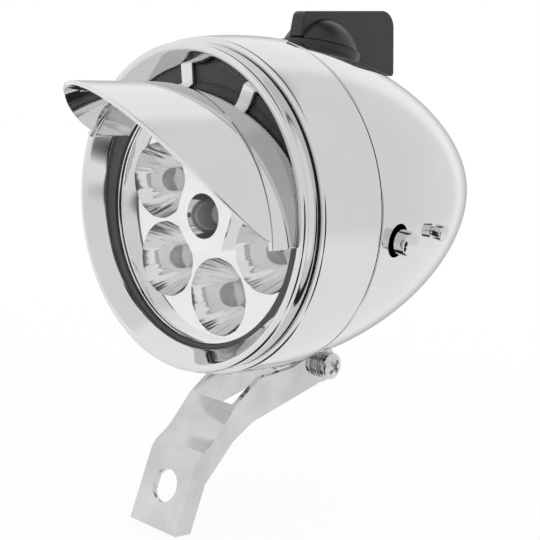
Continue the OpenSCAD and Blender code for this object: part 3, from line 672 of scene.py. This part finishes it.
def makeLens():
    z = lensSizes
    back = z["front"] + z["thick"]
    near, far = z["rings"]
    section = [(0, z["front"]), (near, z["front"]), (far, z["front"]), (z["radius"], z["front"], z["edge"]),
               (z["radius"], back, z["edge"]), (far, back), (near, back), (0, back)]
    return turnedPiece("lens", roundedOutline(section, 5, closed=False), clearLens, lensMatrix, 192, False)


finishPiece(makeBezel(), "front_unit", "chrome", "bezel")
finishPiece(makeBezelSeal(), "front_unit", "black_rubber", "bezel_seal")
finishPiece(makeGasket(), "front_unit", "black_rubber", "gasket")
finishPiece(makeLens(), "front_unit", "clear_lens", "lens")
print("bezel and lens made")

# Reflector and LEDs
reflectorSizes = {"radius": 25.6, "front": 6.5, "face": 8.5, "back": 18.5, "faceRadius": 25.0,
                  "cupRadius": 7.9, "cupRing": 16.5, "cupTurn": 40.0, "cellRadius": 8.4, "cellBowl": 4.6,
                  "flangeRadius": 27.6, "flangeY": 11.3, "flangeThick": 1.5, "cupFoot": 3.3, "flute": 0.008,
                  "cupRows": 20, "cupSteps": 120, "bowlSteps": 96, "rimSteps": 144}


# Points of a ring; the flutes give a cup its streaks.
def ringAt(middle, radius, count, flute=0.0):
    points = []
    for i in range(count):
        a = 2 * math.pi * i / count
        r = radius * (1 + flute * (0.6 * math.sin(13 * a) + 0.4 * math.sin(29 * a + 1.3)))
        points.append((middle[0] + r * math.cos(a), middle[1] + r * math.sin(a)))
    return points


def insideLoop(point, loop):
    inside = False
    for i, p in enumerate(loop):
        q = loop[i - 1]
        if (p[1] > point.y) == (q[1] > point.y):
            continue
        if point.x < (q[0] - p[0]) * (point.y - p[1]) / (q[1] - p[1]) + p[0]:
            inside = not inside
    return inside


# A flat face across the axis with holes in it.
def addFlat(bm, y, outer, holes):
    points, edges = [], []
    for loop in [outer] + holes:
        first = len(points)
        points += [Vector(p) for p in loop]
        edges += [(first + i, first + (i + 1) % len(loop)) for i in range(len(loop))]
    spots, _, triangles, _, _, _ = delaunay_2d_cdt(points, edges, [], 1, 1e-6)
    verts = [bm.verts.new(Vector((p.x, y, p.y)) * mm) for p in spots]
    for triangle in triangles:
        middle = sum((spots[i] for i in triangle), Vector((0, 0))) / len(triangle)
        if not any(insideLoop(middle, hole) for hole in holes):
            bm.faces.new([verts[i] for i in triangle])


def addWall(bm, rows):
    rings = [[bm.verts.new(Vector((x, y, z)) * mm) for x, z in loop] for loop, y in rows]
    for lower, upper in zip(rings, rings[1:]):
        for i in range(len(lower)):
            j = (i + 1) % len(lower)
            bm.faces.new((lower[i], lower[j], upper[j], upper[i]))


# One cup, a parabola down to the LED's hole. Returns its rings at the mouth and at the back.
def addCup(bm, middle, mouthR, mouthY, count, flute):
    z = reflectorSizes
    depth = z["back"] - mouthY
    foot = depth * (z["cupFoot"] / mouthR) ** 2
    rows = []
    for k in range(z["cupRows"] + 1):
        d = depth + (foot - depth) * k / z["cupRows"]
        rows.append((ringAt(middle, mouthR * math.sqrt(d / depth), count, flute), z["back"] - d))
    rows.append((rows[-1][0], z["back"]))
    addWall(bm, rows)
    return rows[0][0], rows[-1][0]


def makeReflector():
    z = reflectorSizes
    bm = bmesh.new()
    rim = ringAt((0, 0), z["radius"], z["rimSteps"])
    face = ringAt((0, 0), z["faceRadius"], z["rimSteps"])
    corners = [math.radians(z["cupTurn"] + 30 + 60 * i) for i in range(6)]
    cell = [(z["cellRadius"] * math.cos(a), z["cellRadius"] * math.sin(a)) for a in corners]
    mouths, feet = [], []
    for i in range(6):
        a = math.radians(z["cupTurn"] + 60 * i)
        middle = (z["cupRing"] * math.cos(a), z["cupRing"] * math.sin(a))
        mouth, foot = addCup(bm, middle, z["cupRadius"], z["face"], z["cupSteps"], z["flute"])
        mouths.append(mouth)
        feet.append(foot)
    bowl, bowlFoot = addCup(bm, (0, 0), z["cellBowl"], z["front"], z["bowlSteps"], 0.0)
    addFlat(bm, z["front"], rim, [face])
    addWall(bm, [(face, z["front"]), (face, z["face"])])
    addFlat(bm, z["face"], face, mouths + [cell])
    addWall(bm, [(cell, z["face"]), (cell, z["front"])])
    addFlat(bm, z["front"], cell, [bowl])
    flange = ringAt((0, 0), z["flangeRadius"], z["rimSteps"])
    low, high = z["flangeY"], z["flangeY"] + z["flangeThick"]
    addWall(bm, [(rim, z["front"]), (rim, low), (flange, low), (flange, high), (rim, high), (rim, z["back"])])
    addFlat(bm, z["back"], rim, feet + [bowlFoot])
    mesh = bpy.data.meshes.new("reflector")
    bm.to_mesh(mesh)
    bm.free()
    obj = newObject("reflector", mesh)
    mergeAndTurnOut(obj)
    mesh.transform(lensMatrix)
    setMaterial(obj, mirrorCoat)
    smoothByAngle(obj, 30)
    return obj


ledSizes = {"radius": 2.5, "flange": 0.4, "length": 8.6, "foot": 18.5}


def makeLeds():
    z = ledSizes
    wide = z["radius"] + z["flange"]
    section = [(0, 0), (wide, 0, 0.1), (wide, z["flange"], 0.1), (z["radius"], z["flange"])]
    section += arcPoints((0, z["length"] - z["radius"]), z["radius"], 0, 90, 14)
    led = turnedPiece("leds", roundedOutline(section, 4, closed=False), ledClear, rotationAbout("X", 90), 48,
                      False)
    return ringPiece(led, 6, reflectorSizes["cupRing"], reflectorSizes["cupTurn"], True, ledClear,
                     lensMatrix @ Matrix.Translation((0, z["foot"] * mm, 0)))


finishPiece(makeReflector(), "front_unit", "metallised_plastic", "reflector")
finishPiece(makeLeds(), "front_unit", "led_clear", "leds")
print("reflector and lamps made")

# Visor
visorSizes = {"radius": 29.4, "sheet": 0.8, "shiftX": 1.2, "drop": 4.5, "turn": 18.0, "halfAngle": 70.0,
              "crease": 6.0, "peak": 22.5, "frontRadius": 27.5, "joggle": 0.22, "joggleLength": 0.7,
              "edge": 0.22, "columns": 180, "skirtRows": 16, "creaseRows": 6, "peakRows": 44,
              "rowGrading": 1.25, "mouthReach": 0.62, "funnelGap": 0.12, "tabAngles": (-25.0, 7.0),
              "tabWidth": 3.2, "tabY": 3.55, "tabReach": 0.3, "tabEdge": 0.25}
visorMatrix = (lampMatrix @ Matrix.Translation(Vector((visorSizes["shiftX"], 0, -visorSizes["drop"])) * mm)
               @ rotationAbout("Y", visorSizes["turn"]))


# How far the peak stands before the crease: one arc across the sheet.
def peakReach(x):
    v = visorSizes
    return max(0.0, v["peak"] - v["frontRadius"] + math.sqrt(max(0.0, v["frontRadius"] ** 2 - x * x)))


# Where the sheet ends in the bezel's mouth, for a point at this distance from the lamp's axis.
def funnelDepth(rho):
    b = bezelSizes
    gap = visorSizes["funnelGap"]
    touch = funnelTouch()
    flat = b["mouthY"] + visorSizes["mouthReach"]
    if rho < b["mouthRadius"] - 0.1:
        return flat
    share = (rho + 0.05 - b["mouthRadius"]) / (touch[0] - b["mouthRadius"])
    if share <= 1:
        return min(flat, b["mouthY"] + (touch[1] - b["mouthY"]) * share - gap)
    across = min(rho - b["neckRadius"], b["bead"])
    return b["bead"] - math.sqrt(b["bead"] ** 2 - across ** 2) - gap


def visorRadiusAt(y):
    v = visorSizes
    t = max(0.0, min(1.0, (y + v["crease"]) / v["joggleLength"]))
    return v["radius"] - v["joggle"] * t * t * (3 - 2 * t)


# Where one column of the sheet's grid has its rows, from the bezel's mouth to the peak's edge.
def visorRows(a):
    v = visorSizes
    turned = a + math.radians(v["turn"])
    lampX = v["shiftX"] + v["radius"] * math.sin(turned)
    lampZ = -v["drop"] + v["radius"] * math.cos(turned)
    back = funnelDepth(math.hypot(lampX, lampZ))
    creaseBack = -v["crease"] + v["joggleLength"]
    reach = peakReach(v["radius"] * math.sin(a))
    ys = [back + (creaseBack - back) * k / v["skirtRows"] for k in range(v["skirtRows"])]
    ys += [creaseBack - v["joggleLength"] * k / v["creaseRows"] for k in range(v["creaseRows"])]
    shares = [1 - (1 - k / v["peakRows"]) ** v["rowGrading"] for k in range(v["peakRows"] + 1)]
    return ys + [-v["crease"] - reach * share for share in shares]


# A tab stands on the sheet and reaches into the bezel's mouth.
def addTab(bm, angle):
    v = visorSizes
    turned = math.radians(angle + v["turn"])
    direction = Vector((math.sin(turned), math.cos(turned)))
    origin = Vector((v["shiftX"], -v["drop"]))
    along = origin.dot(direction)
    mouth = bezelSizes["mouthRadius"] + v["tabReach"]
    outer = -along + math.sqrt(along ** 2 - origin.length_squared + mouth ** 2)
    inner = v["radius"] - v["sheet"] / 2
    box = bmesh.ops.create_cube(bm, size=1.0)["verts"]
    size = Vector((v["tabWidth"], v["sheet"], outer - inner)) * mm
    place = rotationAbout("Y", angle) @ Matrix.Translation(Vector((0, v["tabY"], (outer + inner) / 2)) * mm)
    for vert in box:
        vert.co = place @ (vert.co * size)
    bevelEdges(bm, list({e for vert in box for e in vert.link_edges}), v["tabEdge"], 3)


def makeVisor():
    v = visorSizes
    layers = []
    verts, faces = [], []
    for inset in (0.0, v["sheet"]):
        grid = []
        for i in range(v["columns"] + 1):
            a = math.radians(v["halfAngle"]) * (2 * i / v["columns"] - 1)
            column = []
            for y in visorRows(a):
                r = visorRadiusAt(y) - inset
                column.append(len(verts))
                verts.append(Vector((r * math.sin(a), y, r * math.cos(a))) * mm)
            grid.append(column)
        layers.append(grid)
    last = len(layers[0][0]) - 1
    for grid in layers:
        for i in range(v["columns"]):
            for k in range(last):
                faces.append((grid[i][k], grid[i + 1][k], grid[i + 1][k + 1], grid[i][k + 1]))
    top, under = layers
    for i in range(v["columns"]):
        for k in (0, last):
            faces.append((top[i][k], top[i + 1][k], under[i + 1][k], under[i][k]))
    for i in (0, v["columns"]):
        for k in range(last):
            faces.append((top[i][k], top[i][k + 1], under[i][k + 1], under[i][k]))
    obj = meshFrom("visor", verts, [], faces)
    mergeAndTurnOut(obj, 2e-6)
    bm = bmesh.new()
    bm.from_mesh(obj.data)
    bevelEdges(bm, edgesOver(bm, 50), v["edge"], 2)
    for angle in v["tabAngles"]:
        addTab(bm, angle)
    bm.to_mesh(obj.data)
    bm.free()
    obj.data.transform(visorMatrix)
    setMaterial(obj, chromePlate)
    smoothByAngle(obj, 35)
    return obj


finishPiece(makeVisor(), "front_unit", "chrome", "visor")
print("visor made")

# Bracket
bracketSizes = {"bend": 1.5, "fold": 0.8, "edge": 0.14, "width": 13.9, "bendLength": 8.0, "flatAngle": 0.4,
                "bendAngles": (5, 75), "foldAngle": 60, "edgeAngle": 40, "sharp": 35}


# A merged copy of the folded sheet with real bend radii.
def makeBracket():
    z = bracketSizes
    obj, bm = mergedCopy("bracket", "bracket", z["flatAngle"])
    side = z["width"] / 2 * mm
    least, most = (math.radians(angle) for angle in z["bendAngles"])

    def across(e):
        return abs(e.verts[0].co.x - e.verts[1].co.x) > z["bendLength"] * mm

    def atSide(e):
        return all(abs(abs(vert.co.x) - side) < 1e-5 for vert in e.verts)

    bends = [e for e in bm.edges if e.is_manifold and across(e) and least < e.calc_face_angle() < most]
    bevelEdges(bm, bends, z["bend"], 7)
    # The folds are the edges where the tab, step and arm turn into the cheeks.
    folds = []
    for e in bm.edges:
        if not (e.is_manifold and atSide(e)) or e.calc_face_angle() < math.radians(z["foldAngle"]):
            continue
        flat = [f for f in e.link_faces if abs(f.normal.x) < 0.5]
        if len(flat) == 1 and (flat[0].normal.y < -0.2 and flat[0].normal.z > 0.2):
            folds.append(e)
    bevelEdges(bm, folds, z["fold"], 5)
    bevelEdges(bm, edgesOver(bm, z["edgeAngle"]), z["edge"], 2)
    return closeCopy(obj, bm, bracketChrome, z["sharp"])


finishPiece(makeBracket(), "base", "chrome", "bracket")
print("bracket made")

# Knob
knobSizes = {"lean": 12.6, "domeRadius": 8.5, "domeHigh": 7.0, "lift": 1.0, "leverThick": 3.6,
             "leverBack": 25.0, "leverFront": 8.6, "leverHigh": 14.6, "leverLow": 6.4, "leverSlope": 4.4,
             "leverSag": 0.8, "footRadius": 7.2, "baseRadius": 8.8, "edge": 0.45}
curveMiddle = Vector((0, shellSizes["wideY"], shellSizes["radius"] - shellSizes["rearCurve"])) * mm
knobMatrix = (lampMatrix @ Matrix.Translation(curveMiddle) @ rotationAbout("X", -knobSizes["lean"])
              @ Matrix.Translation((0, 0, shellSizes["rearCurve"] * mm)))


def makeKnob():
    k = knobSizes
    middle = k["domeHigh"] - k["domeRadius"]
    low = math.degrees(math.asin((k["lift"] - middle) / k["domeRadius"]))
    section = [(0, k["lift"]), (k["footRadius"], k["lift"])]
    section += arcPoints((0, middle), k["domeRadius"], low, 90, 28)
    dome = turnedPiece("knob", section, blackMoulding, rotationAbout("X", 90), 120, False)
    outline = roundedOutline([(-k["leverFront"], k["lift"], 0.4), (k["baseRadius"] + 0.3, k["lift"]),
                              (k["leverBack"], k["lift"] - k["leverSag"], 0.8),
                              (k["leverBack"] - k["leverSlope"], k["leverHigh"], 4.0),
                              (-k["leverFront"], k["leverLow"], 1.5)], 10)
    bm = bmesh.new()
    half = k["leverThick"] / 2
    near = [bm.verts.new(Vector((half, y, z)) * mm) for y, z in outline]
    far = [bm.verts.new(Vector((-half, y, z)) * mm) for y, z in outline]
    bm.faces.new(near)
    bm.faces.new(list(reversed(far)))
    for i in range(len(outline)):
        j = (i + 1) % len(outline)
        bm.faces.new((near[i], far[i], far[j], near[j]))
    bmesh.ops.recalc_face_normals(bm, faces=bm.faces)
    bevelEdges(bm, edgesOver(bm, 60), k["edge"], 4)
    bm.from_mesh(dome.data)
    bm.to_mesh(dome.data)
    bm.free()
    dome.data.transform(knobMatrix)
    setMaterial(dome, blackMoulding)
    smoothByAngle(dome, 32, True)
    return dome


finishPiece(makeKnob(), "switch", "black_plastic", "knob")
finishPiece(softenedCopy("knobBase", "knob_base", blackMoulding, 0.1), "lamp", "black_plastic", "knob_base")
print("knob made")

# Fasteners and joint pieces
softened = [  # name, node, material, body, slot, edge rounding
    ("pivotScrew", "pivot_screw", brightSteel, "base", "chrome", 0.1),
    ("springWasher", "spring_washer", springSteel, "base", "steel", 0.1),
    ("pivotWashers", "pivot_washers", brightSteel, "base", "steel", 0.08),
    ("pivotNut", "pivot_nut", brightSteel, "base", "chrome", 0.15),
    ("pivotLug", "pivot_lug", bracketChrome, "lamp", "chrome", 0.15),
    ("lugRivets", "lug_rivets", brightSteel, "lamp", "chrome", 0.1),
    ("shellScrew", "shell_screw", brightSteel, "front_unit", "chrome", 0.1),
    ("shellSleeve", "shell_sleeve", springSteel, "front_unit", "steel", 0.08),
]
for name, node, material, body, slotName, rounding in softened:
    finishPiece(softenedCopy(name, node, material, rounding), body, slotName, node)
print("fasteners made:", len(softened))

# Inner pieces keep their CAD shape and get their own finishes.
innerFinish = {
    "switch_body": blackMoulding, "switch_nut": brightSteel, "switch_shaft": brightSteel,
    "latch_leaf": springSteel, "latch_spacer": springSteel, "carrier": blackMoulding,
    "retaining_ring": springSteel, "led_board": boardWhite, "board_screws": brightSteel,
    "battery_holder": blackMoulding, "cells": cellJacket, "cell_contacts": contactBrass,
}
for node, material in innerFinish.items():
    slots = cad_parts[node].material_slots
    for slotEntry in slots:
        slotEntry.material = material
    if not slots:
        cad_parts[node].data.materials.append(material)
print("inner pieces finished:", len(innerFinish))

# Camera, floor and light
viewSizes = {"azimuth": 43.28606, "elevation": 10.33823, "roll": 1.95170, "distance": 250.0,
             "target": (-2.36364, 30.99912, 40.98540), "lens": 76.31, "sensor": 36.0, "clipStart": 0.01}


def makeCamera():
    v = viewSizes
    a, e, roll = (math.radians(v[key]) for key in ("azimuth", "elevation", "roll"))
    back = Vector((math.sin(a) * math.cos(e), -math.cos(a) * math.cos(e), math.sin(e)))
    right = Vector((math.cos(a), math.sin(a), 0))
    up = back.cross(right)
    across = math.cos(roll) * right + math.sin(roll) * up
    upright = -math.sin(roll) * right + math.cos(roll) * up
    data = bpy.data.cameras.new("photoCamera")
    data.lens = v["lens"]
    data.sensor_width = v["sensor"]
    data.clip_start = v["clipStart"]
    camera = bpy.data.objects.new("photoCamera", data)
    place = (Vector(v["target"]) + v["distance"] * back) * mm
    camera.matrix_world = Matrix.Translation(place) @ Matrix((across, upright, back)).transposed().to_4x4()
    bpy.context.scene.collection.objects.link(camera)
    bpy.context.scene.camera = camera


# Tones are brightness, edges are where a zone of the room starts and is full, on a unit direction.
studio = {"floorDrop": 0.5, "floorSize": 3.0, "floorTone": 0.95, "floorRough": 0.9, "shadowShare": 0.08,
          "shadowReach": (0.08, 0.3), "plainTone": 1.0, "leftTone": 1.0, "rightTone": 0.83,
          "sideEdge": (-0.25, -0.08), "groundTone": 0.95, "groundEdge": (-0.12, -0.34), "backTone": 0.5,
          "backDirection": (-0.675, 0.716, -0.15), "backEdge": (0.84, 0.98), "darkTone": 0.03,
          "ceilingEdge": (0.74, 0.88), "ceilingSide": (0.0, 0.25), "tableEdge": (-0.88, -0.95),
          "flagDirection": (0.72, -0.3, -0.62), "flagEdge": (0.93, 0.965),
          "panelDirection": (0.93, -0.33, -0.14), "panelEdge": (0.93, 0.965)}


def smoothStep(tree, edge, low=0.0, high=1.0):
    limits = {"From Min": edge[0], "From Max": edge[1], "To Min": low, "To Max": high}
    return addNode(tree, "ShaderNodeMapRange", limits, interpolation_type="SMOOTHSTEP")


# Mirror rays pass the floor and see the studio's ground. The camera, also through the lens,
# sees white with a faint shadow.
def makeFloor():
    s = studio
    half = s["floorSize"] / 2
    z = cadBox[0][2] - s["floorDrop"] * mm
    corners = [(-half, -half, z), (half, -half, z), (half, half, z), (-half, half, z)]
    floor = meshFrom("floor", corners, [], [(0, 1, 2, 3)])
    material = bpy.data.materials.new("paleFloor")
    material.use_nodes = True
    tree = material.node_tree
    paper = tree.nodes["Principled BSDF"]
    paper.inputs["Base Color"].default_value = grey(s["floorTone"])
    paper.inputs["Roughness"].default_value = s["floorRough"]
    white = addNode(tree, "ShaderNodeEmission", {"Color": grey(1.0), "Strength": 1.0})
    clear = addNode(tree, "ShaderNodeBsdfTransparent")
    seen = addNode(tree, "ShaderNodeLightPath")
    place = addNode(tree, "ShaderNodeTexCoord")
    distance = addNode(tree, "ShaderNodeVectorMath", operation="LENGTH")
    share = smoothStep(tree, s["shadowReach"], 1.0 - s["shadowShare"], 1.0)
    cameraShare = addNode(tree, "ShaderNodeMath", operation="MULTIPLY")
    whiten = addNode(tree, "ShaderNodeMixShader")
    passMirror = addNode(tree, "ShaderNodeMixShader")
    link = tree.links.new
    link(place.outputs["Object"], distance.inputs[0])
    link(distance.outputs["Value"], share.inputs["Value"])
    link(share.outputs["Result"], cameraShare.inputs[0])
    direct = joinMasks(tree, "MAXIMUM", seen.outputs["Is Camera Ray"], seen.outputs["Is Transmission Ray"])
    link(direct, cameraShare.inputs[1])
    link(cameraShare.outputs["Value"], whiten.inputs["Fac"])
    link(paper.outputs["BSDF"], whiten.inputs[1])
    link(white.outputs["Emission"], whiten.inputs[2])
    link(seen.outputs["Is Glossy Ray"], passMirror.inputs["Fac"])
    link(whiten.outputs["Shader"], passMirror.inputs[1])
    link(clear.outputs["BSDF"], passMirror.inputs[2])
    link(passMirror.outputs["Shader"], tree.nodes["Material Output"].inputs["Surface"])
    setMaterial(floor, material)


# How far a mirror ray's direction lies in a zone of the room, from 0 to 1.
def directionMask(tree, place, direction, edge):
    dot = addNode(tree, "ShaderNodeVectorMath", operation="DOT_PRODUCT")
    dot.inputs[1].default_value = Vector(direction).normalized()
    mask = smoothStep(tree, edge)
    tree.links.new(place.outputs["Generated"], dot.inputs[0])
    tree.links.new(dot.outputs["Value"], mask.inputs["Value"])
    return mask.outputs["Result"]


def mixTone(tree, mask, base, tone):
    mix = addNode(tree, "ShaderNodeMix", data_type="FLOAT")
    mix.inputs["B"].default_value = tone
    tree.links.new(mask, mix.inputs["Factor"])
    tree.links.new(base, mix.inputs["A"])
    return mix.outputs["Result"]


def joinMasks(tree, operation, first, second):
    join = addNode(tree, "ShaderNodeMath", operation=operation)
    tree.links.new(first, join.inputs[0])
    tree.links.new(second, join.inputs[1])
    return join.outputs["Value"]


# A plain white room. Mirror rays see it greyer on the right and straight behind, with a dark
# ceiling, table, flag and side panel, which give the chrome its black lines.
def makeWorld():
    s = studio
    world = bpy.data.worlds.new("whiteStudio")
    bpy.context.scene.world = world
    world.use_nodes = True
    tree = world.node_tree
    light = tree.nodes["Background"]
    light.inputs["Strength"].default_value = 1.0
    place = addNode(tree, "ShaderNodeTexCoord")
    split = addNode(tree, "ShaderNodeSeparateXYZ")
    tree.links.new(place.outputs["Generated"], split.inputs["Vector"])

    def along(axis, edge, low=0.0, high=1.0):
        step = smoothStep(tree, edge, low, high)
        tree.links.new(split.outputs[axis], step.inputs["Value"])
        return step.outputs["Result"]

    room = along("X", s["sideEdge"], s["leftTone"], s["rightTone"])
    room = mixTone(tree, along("Z", s["groundEdge"]), room, s["groundTone"])
    room = mixTone(tree, directionMask(tree, place, s["backDirection"], s["backEdge"]), room, s["backTone"])
    dark = joinMasks(tree, "MULTIPLY", along("Z", s["ceilingEdge"]), along("Y", s["ceilingSide"]))
    dark = joinMasks(tree, "MAXIMUM", dark, along("Z", s["tableEdge"]))
    dark = joinMasks(tree, "MAXIMUM", dark, directionMask(tree, place, s["flagDirection"], s["flagEdge"]))
    dark = joinMasks(tree, "MAXIMUM", dark, directionMask(tree, place, s["panelDirection"], s["panelEdge"]))
    room = mixTone(tree, dark, room, s["darkTone"])
    seen = addNode(tree, "ShaderNodeLightPath")
    final = addNode(tree, "ShaderNodeMix", data_type="FLOAT")
    final.inputs["A"].default_value = s["plainTone"]
    tree.links.new(seen.outputs["Is Glossy Ray"], final.inputs["Factor"])
    tree.links.new(room, final.inputs["B"])
    tree.links.new(final.outputs["Result"], light.inputs["Color"])


makeCamera()
makeFloor()
makeWorld()
bpy.context.scene.view_settings.view_transform = "Standard"
print("studio made")
